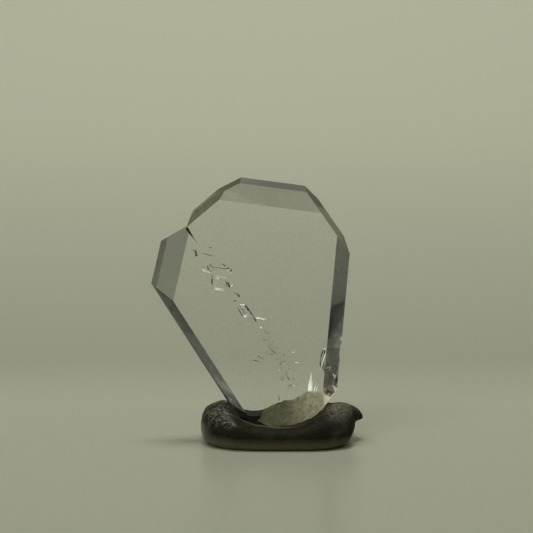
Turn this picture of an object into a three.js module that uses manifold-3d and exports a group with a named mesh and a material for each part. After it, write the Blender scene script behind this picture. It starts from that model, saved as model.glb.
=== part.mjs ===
// A Japan-law twin of quartz, standing in a pressed lump of putty.
// Two flat crystals share one front and one back face and grow away from a common plane, with their
// long (c) axes 84.55 degrees apart. Every flat face below is a true quartz face: a prism face or a
// rhombohedron face, placed by how far its rim stands from the plate's origin.
// Millimetres, +Z up. The origin is on the putty's flat underside, below its middle. -Y is the front.

import * as THREE from "three";
import { ConvexGeometry } from "three/addons/geometries/ConvexGeometry.js";
import { mergeVertices } from "three/addons/utils/BufferGeometryUtils.js";
import Module from "manifold-3d";

const wasm = await Module();
wasm.setup();

// Quartz, in degrees
const TWIN_ANGLE = 84.55; // between the two c axes
const PRISM_SLOPE = 90; // a prism face's normal, from the c axis
const RHOMB_SLOPE = 51.79; // a rhombohedron face's normal, from the c axis
const SIDE_AZIMUTH = 60; // from one face to the next, round the c axis
const CORNER_SLOPE = 54; // a small face between two rhombohedron faces

// Plate
const PLATE_THICKNESS = 2.45;
const RIM_DEPTH = 0.47; // most of the plate's sharp rim lies this far behind its front face
const SIDE_RIM_DEPTH = 0.06; // on the right side
const TIP_RIM_DEPTH = 1.35; // right of the tip
const RIGHT_TILT = 7.5; // the right crystal's c axis from upright, clockwise, in degrees
const LEFT_TILT = RIGHT_TILT - TWIN_ANGLE;
const SEAM_TILT = RIGHT_TILT - TWIN_ANGLE / 2;
const SEAM_REACH = 4.72; // the plane where the crystals meet, from the plate's origin
const SEAM_LAP = 0.3; // the left crystal runs this far into the right one

// What meets at a rim, as how far each of its faces leans: to the front (1), to the back (-1) or not at
// all (0).
const BEVELLED = [1, -1];
const FRONT_BEVEL = [1, 0];
const STRAIGHT = [0];

// How far each rim stands from the plate's origin, and behind its front face. swing turns a face that
// grew a little off true.
const RIGHT_RIMS = [
  { azimuth: 0, slope: RHOMB_SLOPE, reach: 25.88 }, // top
  { azimuth: SIDE_AZIMUTH, slope: RHOMB_SLOPE, reach: 17.1, depth: TIP_RIM_DEPTH }, // right of the tip
  { azimuth: -SIDE_AZIMUTH, slope: RHOMB_SLOPE, reach: 23.41 }, // left of the tip
  { azimuth: -SIDE_AZIMUTH / 2, slope: CORNER_SLOPE, reach: 25.47, leans: FRONT_BEVEL }, // between them
  { azimuth: SIDE_AZIMUTH, slope: PRISM_SLOPE, reach: 5.22, depth: SIDE_RIM_DEPTH, swing: -2.25 },
  { azimuth: -SIDE_AZIMUTH, slope: PRISM_SLOPE, reach: 16.73, swing: 14.3, leans: STRAIGHT }, // left side
];
const LEFT_RIMS = [
  { azimuth: 0, slope: RHOMB_SLOPE, reach: 16.16 }, // its end
  { azimuth: SIDE_AZIMUTH, slope: RHOMB_SLOPE, reach: 23.49, leans: STRAIGHT }, // above its end
  { azimuth: -SIDE_AZIMUTH, slope: RHOMB_SLOPE, reach: 2.17, swing: 1.9 }, // below its end
];

// Broken foot, in the plate's frame. The break's front edge is level at the left and sweeps up to the
// right. Its back edge stands higher, on points of x and z.
const FOOT_LEVEL = 1.3;
const FOOT_SWEEP_START = 0.5;
const FOOT_SWEEP_RUN = 5.2;
const FOOT_SWEEP_RISE = 4.2;
const FOOT_SWEEP_POWER = 2.2;
const FOOT_BACK_EDGE = [[-2.6, 1.4], [-1.5, 3.3], [0, 4], [1.2, 4.2], [2.7, 5], [5, 5]];
const FOOT_RIPPLE = 0.11; // height of the shell-like ripples in the break
const FOOT_WAVES = [[3.1, 2.2, 0, 1], [5.3, -3.4, 1, 0.7]]; // each along x, along y, start and share
const FOOT_BLOCK = [22, 5, 30]; // what is broken away, wider and deeper than the plate
const FOOT_CELLS = [44, 9]; // the break's mesh, across and through the plate

// Growth pits along the seam, in the plate's frame: x and z of the middle, width, height and depth.
// Their sides run along the seam, or along the right crystal's axis.
const NOTCH = [-9.15, 21.23]; // where the seam comes out at the plate's edge
const PITS = [
  { x: -8.5, z: 19.1, width: 0.3, height: 0.75, depth: 0.22, sides: SEAM_TILT },
  { x: -7.35, z: 17.4, width: 0.75, height: 0.65, depth: 0.25, sides: SEAM_TILT },
  { x: -5.9, z: 17.3, width: 2.5, height: 0.85, depth: 0.14, sides: SEAM_TILT },
  { x: -5.95, z: 16.05, width: 1.5, height: 1.6, depth: 0.17, sides: RIGHT_TILT },
  { x: -5.2, z: 15.85, width: 0.3, height: 0.6, depth: 0.25, sides: RIGHT_TILT },
  { x: -4.4, z: 14.8, width: 0.35, height: 0.8, depth: 0.12, sides: SEAM_TILT },
  { x: -3.35, z: 13.25, width: 0.95, height: 1.5, depth: 0.3, sides: SEAM_TILT },
  { x: -2.5, z: 12.5, width: 2.2, height: 0.3, depth: 0.14, sides: SEAM_TILT },
];
const SMALL_PITS = 9;
const SMALL_PITS_FROM = 10.6; // along the seam, from the notch
const SMALL_PITS_STEP = 1.15;
const SMALL_PITS_ASIDE = [-0.56, 0.84]; // to either side of the seam
const SMALL_PIT_WIDTH = [0.12, 0.4];
const SMALL_PIT_HEIGHT = [0.12, 0.4];
const SMALL_PIT_DEPTH = [0.06, 0.14];
const PIT_TAPER = 0.55; // a pit's floor, as a share of its mouth
const PIT_PROUD = 0.1; // the cutter stands this far out of the face
const GROOVE_HALF_WIDTH = 0.2; // the seam's groove below the notch
const GROOVE_DEPTH = 0.35;
const GROOVE_LENGTH = 2.2;

// Chips out of the edges, in the plate's frame: middle and half-widths of the splinter that came away,
// and how far it is turned, in degrees.
const CHIPS = [
  { middle: [6.5, 0.2, 10.6], half: [0.65, 0.9, 0.3], turn: -25 },
  { middle: [7.05, -0.2, 9.1], half: [1.5, 1.3, 1.7], turn: 10 },
  { middle: [5.5, 2.5, 7.2], half: [1.3, 1.2, 1.1], turn: 35 },
  { middle: [6.3, 0.9, 6.6], half: [0.8, 1.3, 1], turn: 50 },
  { middle: [4.3, 2.6, 8.3], half: [0.35, 0.5, 1.2], turn: 8 },
  { middle: [1.05, 0.45, 26.2], half: [0.22, 0.4, 0.25], turn: 0 },
];

// Putty, seen from above as a rounded oblong
const PUTTY_HALF_LENGTH = 7.85;
const PUTTY_HALF_DEPTH = 6.2;
const PUTTY_SQUARENESS = 2.9; // 2 is an ellipse
const PUTTY_WAVES = [[3, 3.74, 0.012], [5, 5.14, 0.01]]; // its kneaded outline: each count, start and share
const PUTTY_FOOT = 0.88; // the flat underside, as a share of the lump's outline
const PUTTY_BULGE = 0.7; // how square the side is in section
const PUTTY_SEGMENTS = 76;
const PUTTY_SIDE_STEPS = 9;
const PUTTY_TOP_STEPS = 14;
const PUTTY_NUB = { reach: 0.9, halfAngle: 0.13, level: 0.86, halfLevel: 0.2 }; // a pinched right end
const PUTTY_TUCK = 0.85; // the underside is tucked in this far on the right

// Height of its top: two crowned ends that fall away outwards
const PUTTY_END_Z = 4.12;
const PUTTY_END_CROWN = 0.06;
const PUTTY_END_FALL = 0.265;
const PUTTY_END_FROM = 5; // the fall starts this far out
const PUTTY_END_POWER = 1.3;
// A front rim, pressed down most in one place
const PUTTY_DIP_X = 0.7;
const PUTTY_DIP_Z = 1.85;
const PUTTY_DIP_LEFT = { rise: 0.0063, power: 3.2 }; // how fast the rim rises to each side of the dip
const PUTTY_DIP_RIGHT = { rise: 0.12, power: 2 };
// A rim behind the plate, with a lobe squeezed up in its middle
const PUTTY_BACK_Z = 2.35;
const PUTTY_BACK_LEFT = { rise: 0.00003, power: 6 };
const PUTTY_BACK_RIGHT = { rise: 0.04, power: 2 };
const PUTTY_LOBE = { height: 1.25, halfWidth: 1.7 };
const PUTTY_RIMS_Y = [-2, 1.5]; // where the front rim ends and the back rim starts
const PUTTY_BLEND = 0.3; // how softly the ends run into the rims
const PUTTY_BACK_FALL = 0.15;
const PUTTY_BACK_FROM = 3; // behind this the top falls away
// A lip pressed up against the plate at the left, and the groove between it and the front rim
const PUTTY_LIP = { height: 1.05, x: -2.5, y: -1.6, halfX: 1.25, halfY: 0.8 };
const PUTTY_GROOVE = { height: -0.8, x: -2.3, y: -2.5, halfX: 1.9, halfY: 0.5 };
const SOCKET_GAP = 0.3;

// The plate in its putty
const LEAN_BACK = 7; // degrees
const FRONT_FOOT_Y = -2; // where the plate's front plane meets the ground

const STOCK_SIZE = 32; // width and height of the plates the crystals are cut from
const CUT_SIZE = 90; // edge of the blocks that cut a face, well past those plates
const SCATTER_STEP = 12.9898; // the usual values for a repeatable scatter
const SCATTER_SPREAD = 43758.5453;
const { clamp, degToRad, lerp, smoothstep } = THREE.MathUtils;

// Solids and meshes

function solidOf(geometry) {
  const bare = geometry.clone();
  for (const name of Object.keys(bare.attributes)) {
    if (name !== "position") bare.deleteAttribute(name);
  }
  const merged = mergeVertices(bare, 1e-5);
  return new wasm.Manifold(
    new wasm.Mesh({
      numProp: 3,
      vertProperties: new Float32Array(merged.attributes.position.array),
      triVerts: new Uint32Array(merged.index.array),
    }),
  );
}

function geometryOf(solid) {
  const mesh = solid.getMesh();
  const geometry = new THREE.BufferGeometry();
  geometry.setAttribute("position", new THREE.BufferAttribute(mesh.vertProperties, 3));
  geometry.setIndex(new THREE.BufferAttribute(mesh.triVerts, 1));
  return geometry;
}

// A direction in the plate, turned clockwise from upright as the viewer sees it.
function inPlate(tilt) {
  return new THREE.Vector3(Math.sin(degToRad(tilt)), 0, Math.cos(degToRad(tilt)));
}

// Everything beyond the plane that stands at a distance along its normal.
function blockBeyond(normal, distance) {
  const block = new THREE.BoxGeometry(CUT_SIZE, CUT_SIZE, CUT_SIZE);
  block.translate(0, 0, CUT_SIZE / 2 + distance);
  const turn = new THREE.Quaternion().setFromUnitVectors(new THREE.Vector3(0, 0, 1), normal);
  return solidOf(block.applyQuaternion(turn));
}

// The twin

// The normal of a face, from its place round the c axis (0 is the front) and its slope off that axis.
function faceNormal(tilt, azimuth, slope) {
  const axis = inPlate(tilt);
  const side = inPlate(tilt + 90);
  const front = new THREE.Vector3(0, -1, 0);
  const around = front.multiplyScalar(Math.cos(degToRad(azimuth)));
  around.addScaledVector(side, Math.sin(degToRad(azimuth)));
  return around.multiplyScalar(Math.sin(degToRad(slope))).addScaledVector(axis, Math.cos(degToRad(slope)));
}

// One flat crystal: a plate that stands on the ground, cut at each rim by the faces that meet there.
function flatCrystal(tilt, rims, grown) {
  const plate = new THREE.BoxGeometry(STOCK_SIZE, PLATE_THICKNESS + 2 * grown, STOCK_SIZE);
  let crystal = solidOf(plate.translate(0, PLATE_THICKNESS / 2, STOCK_SIZE / 2));
  for (const { azimuth, slope, reach, depth = RIM_DEPTH, swing = 0, leans = BEVELLED } of rims) {
    for (const lean of leans) {
      const normal = faceNormal(tilt + swing, azimuth, slope);
      normal.setY(lean * normal.y).normalize();
      const rim = new THREE.Vector3(normal.x, 0, normal.z).setLength(reach).setY(depth);
      crystal = crystal.subtract(blockBeyond(normal, normal.dot(rim) + grown));
    }
  }
  return crystal;
}

// Height of a line through points of rising x, level beyond its ends.
function heightAlong(points, x) {
  let height = points[0][1];
  for (let i = 1; i < points.length; i += 1) {
    const [fromX] = points[i - 1];
    const [toX, toHeight] = points[i];
    height = lerp(height, toHeight, clamp((x - fromX) / (toX - fromX), 0, 1));
  }
  return height;
}

function footHeight(x, y) {
  const run = Math.max(0, (x - FOOT_SWEEP_START) / FOOT_SWEEP_RUN);
  const front = FOOT_LEVEL + FOOT_SWEEP_RISE * run ** FOOT_SWEEP_POWER;
  const back = Math.max(front, heightAlong(FOOT_BACK_EDGE, x));
  let ripple = 0;
  for (const [alongX, alongY, start, share] of FOOT_WAVES) {
    ripple += share * Math.sin(alongX * x + alongY * y + start);
  }
  return lerp(front, back, y / PLATE_THICKNESS) + FOOT_RIPPLE * ripple;
}

// Everything under the broken foot.
function brokenAway(lowered) {
  const [width, depth, height] = FOOT_BLOCK;
  const [across, through] = FOOT_CELLS;
  const block = new THREE.BoxGeometry(width, depth, height, across, through, 1);
  block.translate(0, PLATE_THICKNESS / 2, -height / 2);
  const at = block.attributes.position;
  for (let i = 0; i < at.count; i += 1) {
    if (at.getZ(i) === 0) at.setZ(i, footHeight(at.getX(i), at.getY(i)) - lowered);
  }
  return solidOf(block);
}

// A shallow pit, square to the right crystal's axis at its top and bottom, sunk into the front face or
// into the back face.
function pitSolid({ x, z, width, height, depth, sides }, onBack) {
  const across = inPlate(RIGHT_TILT + 90);
  const along = inPlate(sides);
  const corners = [];
  for (const [share, y] of [[1, -PIT_PROUD], [PIT_TAPER, depth]]) {
    for (const [u, v] of [[-1, -1], [1, -1], [1, 1], [-1, 1]]) {
      const corner = new THREE.Vector3(x, onBack ? PLATE_THICKNESS - y : y, z);
      corner.addScaledVector(across, (u * share * width) / 2);
      corners.push(corner.addScaledVector(along, (v * share * height) / 2));
    }
  }
  return solidOf(new ConvexGeometry(corners));
}

// A repeatable number between two limits.
function scatter(i, [low, high]) {
  const wave = Math.sin(i * SCATTER_STEP) * SCATTER_SPREAD;
  return lerp(low, high, wave - Math.floor(wave));
}

// The pits that trail off along the seam towards the foot, some in each face.
function smallPit(i) {
  const down = inPlate(SEAM_TILT).negate();
  const across = inPlate(SEAM_TILT + 90);
  const middle = new THREE.Vector3(NOTCH[0], 0, NOTCH[1]);
  middle.addScaledVector(down, SMALL_PITS_FROM + SMALL_PITS_STEP * scatter(i, [i, i + 1]));
  middle.addScaledVector(across, scatter(i + SMALL_PITS, SMALL_PITS_ASIDE));
  return {
    x: middle.x,
    z: middle.z,
    width: scatter(i + 2 * SMALL_PITS, SMALL_PIT_WIDTH),
    height: scatter(i + 3 * SMALL_PITS, SMALL_PIT_HEIGHT),
    depth: scatter(i + 4 * SMALL_PITS, SMALL_PIT_DEPTH),
    sides: i % 2 ? SEAM_TILT : RIGHT_TILT,
  };
}

// The groove the seam leaves in the front face just below the notch.
function seamGroove() {
  const groove = new ConvexGeometry([
    new THREE.Vector3(-GROOVE_HALF_WIDTH, -PIT_PROUD, GROOVE_DEPTH),
    new THREE.Vector3(GROOVE_HALF_WIDTH, -PIT_PROUD, GROOVE_DEPTH),
    new THREE.Vector3(0, GROOVE_DEPTH, GROOVE_DEPTH),
    new THREE.Vector3(0, -PIT_PROUD, -GROOVE_LENGTH),
  ]);
  groove.rotateY(degToRad(SEAM_TILT));
  return solidOf(groove.translate(NOTCH[0], 0, NOTCH[1]));
}

function chipSolid({ middle, half, turn }) {
  const splinter = new THREE.IcosahedronGeometry(1, 0);
  splinter.scale(...half).rotateY(degToRad(turn));
  return solidOf(splinter.translate(...middle));
}

// Both crystals, joined at the seam and broken off below. grown moves every face out by that much.
function twinSolid(grown) {
  const seam = inPlate(SEAM_TILT + 90);
  const right = flatCrystal(RIGHT_TILT, RIGHT_RIMS, grown);
  const left = flatCrystal(LEFT_TILT, LEFT_RIMS, grown);
  const rightHalf = right.subtract(blockBeyond(seam.clone().negate(), -SEAM_REACH));
  const leftHalf = left.subtract(blockBeyond(seam, SEAM_REACH + SEAM_LAP));
  return rightHalf.add(leftHalf).subtract(brokenAway(grown));
}

function wornTwin() {
  let twin = twinSolid(0).subtract(seamGroove());
  for (const pit of PITS) twin = twin.subtract(pitSolid(pit, false));
  for (let i = 0; i < SMALL_PITS; i += 1) twin = twin.subtract(pitSolid(smallPit(i), i % 3 === 2));
  for (const chip of CHIPS) twin = twin.subtract(chipSolid(chip));
  return twin;
}

// The putty

// A smooth hump, 1 at its middle and nearly 0 at twice its width.
function bump(offset, width) {
  return Math.exp(-((offset / width) ** 2));
}

// A hump with a flatter top and steeper sides.
function flatBump(offset, width) {
  return Math.exp(-((offset / width) ** 4));
}

// A hump or a hollow at one place.
function mound({ height, x, y, halfX, halfY }, atX, atY) {
  return height * bump(atX - x, halfX) * bump(atY - y, halfY);
}

// Distance from the middle of the lump to its outline, in the direction of an angle.
function puttyOutline(angle) {
  const x = Math.abs(Math.cos(angle) / PUTTY_HALF_LENGTH) ** PUTTY_SQUARENESS;
  const y = Math.abs(Math.sin(angle) / PUTTY_HALF_DEPTH) ** PUTTY_SQUARENESS;
  let kneaded = 1;
  for (const [count, start, share] of PUTTY_WAVES) kneaded += share * Math.sin(count * angle + start);
  return kneaded * (x + y) ** (-1 / PUTTY_SQUARENESS);
}

// How much higher a rim is, away from its lowest place.
function rimRise(away, left, right) {
  const { rise, power } = away < 0 ? left : right;
  return rise * Math.abs(away) ** power;
}

function puttyTop(x, y) {
  const away = x - PUTTY_DIP_X;
  const front = PUTTY_DIP_Z + rimRise(away, PUTTY_DIP_LEFT, PUTTY_DIP_RIGHT);
  const lobe = PUTTY_LOBE.height * bump(away, PUTTY_LOBE.halfWidth);
  const back = PUTTY_BACK_Z + lobe + rimRise(away, PUTTY_BACK_LEFT, PUTTY_BACK_RIGHT);
  const middle = lerp(front, back, smoothstep(y, ...PUTTY_RIMS_Y));
  const outward = Math.max(0, Math.abs(x) - PUTTY_END_FROM);
  const end = PUTTY_END_Z - PUTTY_END_FALL * outward ** PUTTY_END_POWER - PUTTY_END_CROWN * y ** 2;
  const lower = Math.exp(-middle / PUTTY_BLEND) + Math.exp(-end / PUTTY_BLEND);
  const behind = Math.max(0, y - PUTTY_BACK_FROM);
  const top = -PUTTY_BLEND * Math.log(lower) - PUTTY_BACK_FALL * behind ** 2;
  return top + mound(PUTTY_LIP, x, y) + mound(PUTTY_GROOVE, x, y);
}

// Half of the lump's section, as share of its radius and of its height: a flat underside, a side that
// bulges over it, and the top.
function puttySection() {
  const section = [new THREE.Vector2(0, 0), new THREE.Vector2(PUTTY_FOOT / 2, 0)];
  section.push(new THREE.Vector2(PUTTY_FOOT, 0));
  for (let i = 1; i < PUTTY_SIDE_STEPS; i += 1) {
    const turn = (Math.PI * i) / PUTTY_SIDE_STEPS - Math.PI / 2;
    const out = Math.cos(turn) ** PUTTY_BULGE;
    section.push(new THREE.Vector2(lerp(PUTTY_FOOT, 1, out), (1 + Math.sin(turn)) / 2));
  }
  for (let i = 0; i <= PUTTY_TOP_STEPS; i += 1) {
    section.push(new THREE.Vector2(PUTTY_FOOT * (1 - i / PUTTY_TOP_STEPS), 1));
  }
  return section;
}

function puttySolid(socket) {
  const lump = new THREE.LatheGeometry(puttySection(), PUTTY_SEGMENTS);
  lump.rotateX(Math.PI / 2);
  const { reach, halfAngle, level, halfLevel } = PUTTY_NUB;
  const at = lump.attributes.position;
  const point = new THREE.Vector3();
  for (let i = 0; i < at.count; i += 1) {
    point.fromBufferAttribute(at, i);
    const angle = Math.atan2(point.y, point.x);
    const nub = reach * flatBump(angle, halfAngle) * flatBump(point.z - level, halfLevel);
    const tuck = PUTTY_TUCK * Math.max(0, point.x) ** 2 * (1 - point.z) ** 2;
    const x = point.x * (puttyOutline(angle) + nub) - tuck;
    const y = point.y * (puttyOutline(angle) + nub);
    at.setXYZ(i, x, y, point.z * puttyTop(x, y));
  }
  return solidOf(lump).subtract(socket);
}

// The parts in place

const plateFrame = new THREE.Group();
plateFrame.position.set(0, FRONT_FOOT_Y, 0);
plateFrame.rotation.x = -degToRad(LEAN_BACK);
plateFrame.updateMatrix();

const quartz = new THREE.MeshStandardMaterial({
  color: 0xdfe2d6,
  roughness: 0.03,
  metalness: 0,
  transparent: true,
  opacity: 0.35,
});
const putty = new THREE.MeshStandardMaterial({ color: 0x3b382b, roughness: 0.75, metalness: 0 });

const twin = new THREE.Mesh(geometryOf(wornTwin()), quartz);
twin.name = "quartz_twin";
plateFrame.add(twin);

const socketShape = geometryOf(twinSolid(SOCKET_GAP)).applyMatrix4(plateFrame.matrix);
const base = new THREE.Mesh(geometryOf(puttySolid(solidOf(socketShape))), putty);
base.name = "putty_base";

const specimen = new THREE.Group();
specimen.add(plateFrame, base);

export default specimen;
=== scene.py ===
# %% [markdown]
# # A quartz twin in a lump of putty
# Two flat crystals of clear quartz have grown together into a wide V. They share one front face and
# one back face, and every rim is bevelled by sloping crystal faces. The broken foot stands in a lump
# of dark putty. The solids come from a fixed frame in metres, and this lesson dresses them: it
# polishes the crystal, puts the fine threads and cracks inside it, and kneads the putty up against it.

# %% Load the fixed frame
import math
import random

import bmesh
import bpy
from mathutils import Matrix, Vector, noise
from mathutils.bvhtree import BVHTree


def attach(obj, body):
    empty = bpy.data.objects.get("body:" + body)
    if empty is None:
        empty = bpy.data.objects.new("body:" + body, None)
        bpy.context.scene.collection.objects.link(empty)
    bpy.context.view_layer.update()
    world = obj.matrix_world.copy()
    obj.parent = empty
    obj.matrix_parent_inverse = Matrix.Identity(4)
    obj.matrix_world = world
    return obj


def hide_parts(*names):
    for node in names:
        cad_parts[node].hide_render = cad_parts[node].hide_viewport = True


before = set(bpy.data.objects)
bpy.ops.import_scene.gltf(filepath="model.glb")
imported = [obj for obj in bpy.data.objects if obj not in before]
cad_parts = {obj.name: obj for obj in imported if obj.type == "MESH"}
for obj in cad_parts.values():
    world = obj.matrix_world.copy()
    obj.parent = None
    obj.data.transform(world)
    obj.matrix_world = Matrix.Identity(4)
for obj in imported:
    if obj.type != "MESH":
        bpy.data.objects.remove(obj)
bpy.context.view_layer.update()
MM = 0.001

# %% [markdown]
# ## Where the plate stands
# The twin is a plate that leans back a little. Its broad front face is by far the largest face of the
# solid, so a merged copy of that solid tells us where the plate is. Its place could also be typed in
# as numbers, but read from the solid it is right whenever the solid changes. Later steps then place
# things on the plate in millimetres: x to the right, depth behind the front face, z up along the plate.

# %% A merged copy of a solid
MERGE_GAP = 0.0005 * MM
FLAT_ANGLE = math.radians(0.4)


def merged_copy(node_name):
    """The node's mesh as a bmesh with shared corners and whole flat faces."""
    shape = bmesh.new()
    shape.from_mesh(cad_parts[node_name].data)
    bmesh.ops.remove_doubles(shape, verts=shape.verts, dist=MERGE_GAP)
    bmesh.ops.dissolve_limit(shape, angle_limit=FLAT_ANGLE, verts=shape.verts, edges=shape.edges)
    shape.normal_update()
    return shape


crystal = merged_copy("quartz_twin")
print("faces of the twin:", len(crystal.faces))

# %% The plate's own directions
FRONT_FACING = -0.9

front_face = max(
    (face for face in crystal.faces if face.normal.y < FRONT_FACING), key=lambda face: face.calc_area()
)
plate_depth_axis = -front_face.normal
plate_up = Vector((1, 0, 0)).cross(plate_depth_axis)
front_point = front_face.calc_center_median()
plate_origin = front_point - plate_up * (front_point.z / plate_up.z)
plate_origin.x = 0
print("plate leans back, degrees:", round(math.degrees(math.asin(plate_up.y)), 2))


def on_plate(x, depth, z):
    """A point of the plate, from millimetres in the plate's own directions."""
    return plate_origin + (Vector((1, 0, 0)) * x + plate_depth_axis * depth + plate_up * z) * MM


def in_plate(point):
    """The plate's own x, depth and z of a point, in millimetres."""
    away = (point - plate_origin) / MM
    return away.x, away.dot(plate_depth_axis), away.dot(plate_up)


# %% [markdown]
# ## Camera
# The view is nearly level and from far away, which keeps the plate's edges straight and parallel. The
# frame is a square, about twice as wide as the specimen is tall.

# %% Make the camera
CAMERA_PITCH = math.radians(8)
CAMERA_DISTANCE = 240 * MM
CAMERA_NEAR = 10 * MM
FRAME_WIDTH = 53.3 * MM
AIM_X = -1.35
AIM_Z = 17.68

lens = bpy.data.cameras.new("camera")
lens.angle = 2 * math.atan(FRAME_WIDTH / 2 / CAMERA_DISTANCE)
lens.clip_start = CAMERA_NEAR
camera = bpy.data.objects.new("camera", lens)
bpy.context.scene.collection.objects.link(camera)
look = Vector((0, math.cos(CAMERA_PITCH), -math.sin(CAMERA_PITCH)))
camera.location = on_plate(AIM_X, 0, AIM_Z) - look * CAMERA_DISTANCE
camera.rotation_euler = look.to_track_quat("-Z", "Y").to_euler()
bpy.context.scene.camera = camera
print("camera at, mm:", [round(c / MM, 1) for c in camera.location])

# %% [markdown]
# ## Stage
# A clear crystal shows only what is around it, so the stage matters as much as the crystal. One sheet
# makes the floor and sweeps up behind: an edge is pulled back along the floor, spun through a quarter
# turn and pulled up. A little behind the specimen the sheet is painted darkest, as painted shade, because
# the bevelled rims look down at it there and show it as grey bands. Further back it is painted paler, as
# painted light, and its gloss fades with distance.


# %% Helpers for new objects and materials
def add_object(name, shape, *materials):
    """Turns a bmesh into an object at the origin."""
    mesh = bpy.data.meshes.new(name)
    shape.to_mesh(mesh)
    shape.free()
    for material in materials:
        mesh.materials.append(material)
    made = bpy.data.objects.new(name, mesh)
    bpy.context.scene.collection.objects.link(made)
    return made


def new_material(name, **values):
    """A material with one Principled shader. Underscores stand for spaces in the socket names."""
    material = bpy.data.materials.new(name)
    material.use_nodes = True
    shader = material.node_tree.nodes["Principled BSDF"]
    for socket, value in values.items():
        shader.inputs[socket.replace("_", " ")].default_value = value
    return material, shader


def add_node(tree, kind, inputs, **settings):
    """A shader node. An input is joined to a socket, or set to a plain value."""
    node = tree.nodes.new("ShaderNode" + kind)
    for name, value in settings.items():
        setattr(node, name, value)
    for name, value in inputs.items():
        if isinstance(value, bpy.types.NodeSocket):
            tree.links.new(value, node.inputs[name])
        else:
            node.inputs[name].default_value = value
    return node


# %% Helpers for colours that change over a piece
def ramp(tree, factor, *stops):
    """Colours between stops of a factor. Each stop is a place from 0 to 1 and a colour."""
    node = add_node(tree, "ValToRGB", {"Fac": factor})
    elements = node.color_ramp.elements
    while len(elements) < len(stops):
        elements.new(1)
    for element, (place, colour) in zip(elements, stops):
        element.position = place
        element.color = (*colour, 1)
    return node.outputs["Color"]


def grey(value):
    """A plain grey, which also serves as a plain value."""
    return (value,) * 3


def greys(*stops):
    """Stops of plain values as stops of grey."""
    return [(place, grey(value)) for place, value in stops]


def tinted(stops, tint):
    """Stops of plain tone as stops of one tint."""
    return [(place, tuple(tone * share for share in tint)) for place, tone in stops]


def from_0_to_1(stops):
    """The same stops, with their places brought to 0 to 1."""
    first, last = stops[0][0], stops[-1][0]
    return [((place - first) / (last - first), colour) for place, colour in stops]


def object_place(tree):
    """The place on the piece, in metres from the frame's origin."""
    return add_node(tree, "TexCoord", {}).outputs["Object"]


def share_along(tree, axis, first, last):
    """How far a place is along an axis of the frame, from 0 to 1 between two millimetres."""
    place = add_node(tree, "SeparateXYZ", {"Vector": object_place(tree)}).outputs[axis]
    limits = {"From Min": first * MM, "From Max": last * MM}
    return add_node(tree, "MapRange", {"Value": place, **limits}).outputs["Result"]


def ramp_along(tree, axis, stops):
    """Colours along an axis of the frame. Each stop is a place in millimetres and a colour."""
    share = share_along(tree, axis, stops[0][0], stops[-1][0])
    return ramp(tree, share, *from_0_to_1(stops))


# %% Shape of the sheet
SHEET_WIDTH = 500 * MM
SHEET_FRONT = -350 * MM
SHEET_BEND = 300 * MM
SHEET_RADIUS = 150 * MM
SHEET_TOP = 200 * MM
BEND_STEPS = 96


def pull_edges(shape, edges, move):
    """Extrudes a row of edges and gives back the new row."""
    pulled = bmesh.ops.extrude_edge_only(shape, edges=edges)["geom"]
    corners = {part for part in pulled if isinstance(part, bmesh.types.BMVert)}
    bmesh.ops.translate(shape, verts=list(corners), vec=move)
    new_edges = (part for part in pulled if isinstance(part, bmesh.types.BMEdge))
    return [edge for edge in new_edges if corners.issuperset(edge.verts)]


sheet = bmesh.new()
front_corners = [sheet.verts.new((side * SHEET_WIDTH / 2, SHEET_FRONT, 0)) for side in (-1, 1)]
row = [sheet.edges.new(front_corners)]
row = pull_edges(sheet, row, (0, SHEET_BEND - SHEET_FRONT, 0))
bend = bmesh.ops.spin(
    sheet,
    geom=row + list(row[0].verts),
    cent=(0, SHEET_BEND, SHEET_RADIUS),
    axis=(1, 0, 0),
    angle=math.pi / 2,
    steps=BEND_STEPS,
)
row = [part for part in bend["geom_last"] if isinstance(part, bmesh.types.BMEdge)]
pull_edges(sheet, row, (0, 0, SHEET_TOP - SHEET_RADIUS))
bmesh.ops.recalc_face_normals(sheet, faces=sheet.faces)
for face in sheet.faces:
    face.smooth = any(corner.co.z > 0 for corner in face.verts)
print("sheet faces:", len(sheet.faces))

# %% Finish of the sheet
# The sheet's tones are painted shade a little behind the specimen and painted light further back.
SHEET_TONES_AND_PAINTED_SHADE = [(-40, 0.66), (20, 0.66), (45, 0.52), (300, 0.7), (400, 0.78)]
SHEET_TINT = (1, 1.015, 0.79)
SHEET_ROUGHNESS = [(-40, 0.25), (400, 0.5)]

sheet_paint, sheet_shader = new_material("pale_sheet", Specular_IOR_Level=0.1)
tree = sheet_paint.node_tree
sheet_colour_and_shade = ramp_along(tree, "Y", tinted(SHEET_TONES_AND_PAINTED_SHADE, SHEET_TINT))
tree.links.new(sheet_colour_and_shade, sheet_shader.inputs["Base Color"])
tree.links.new(ramp_along(tree, "Y", greys(*SHEET_ROUGHNESS)), sheet_shader.inputs["Roughness"])
floor = add_object("pale_sheet", sheet, sheet_paint)
print("stage piece:", floor.name)

# %% [markdown]
# ## Light
# A large soft lamp hangs above, turned towards the sweep, so that the crystal is seen against a lit
# ground. A weaker one at the front left lifts the putty. A lamp's own disc would shine through the
# crystal as a hard white spot, so the front one is left out of what clear and mirror-like faces show.

# %% Lamps
LAMPS = [
    {"name": "back_lamp", "place": (0, 100, 600), "towards": (0, 600, 100), "size": 250, "power": 1.54},
    {"name": "fill_lamp", "place": (-250, -300, 450), "towards": (0, 0, 10), "size": 300, "power": 0.33},
]
UNSEEN_LAMP = "fill_lamp"


def add_lamp(name, place, towards, size, power):
    """A soft round lamp, in millimetres and watts."""
    light = bpy.data.lights.new(name, "AREA")
    light.shape = "DISK"
    light.size = size * MM
    light.energy = power
    lamp = bpy.data.objects.new(name, light)
    bpy.context.scene.collection.objects.link(lamp)
    lamp.location = Vector(place) * MM
    lamp.rotation_euler = (Vector(towards) - Vector(place)).to_track_quat("-Z", "Y").to_euler()
    lamp.visible_transmission = name != UNSEEN_LAMP
    lamp.visible_glossy = name != UNSEEN_LAMP


for lamp in LAMPS:
    add_lamp(**lamp)
print("lamps:", len(LAMPS))

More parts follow.
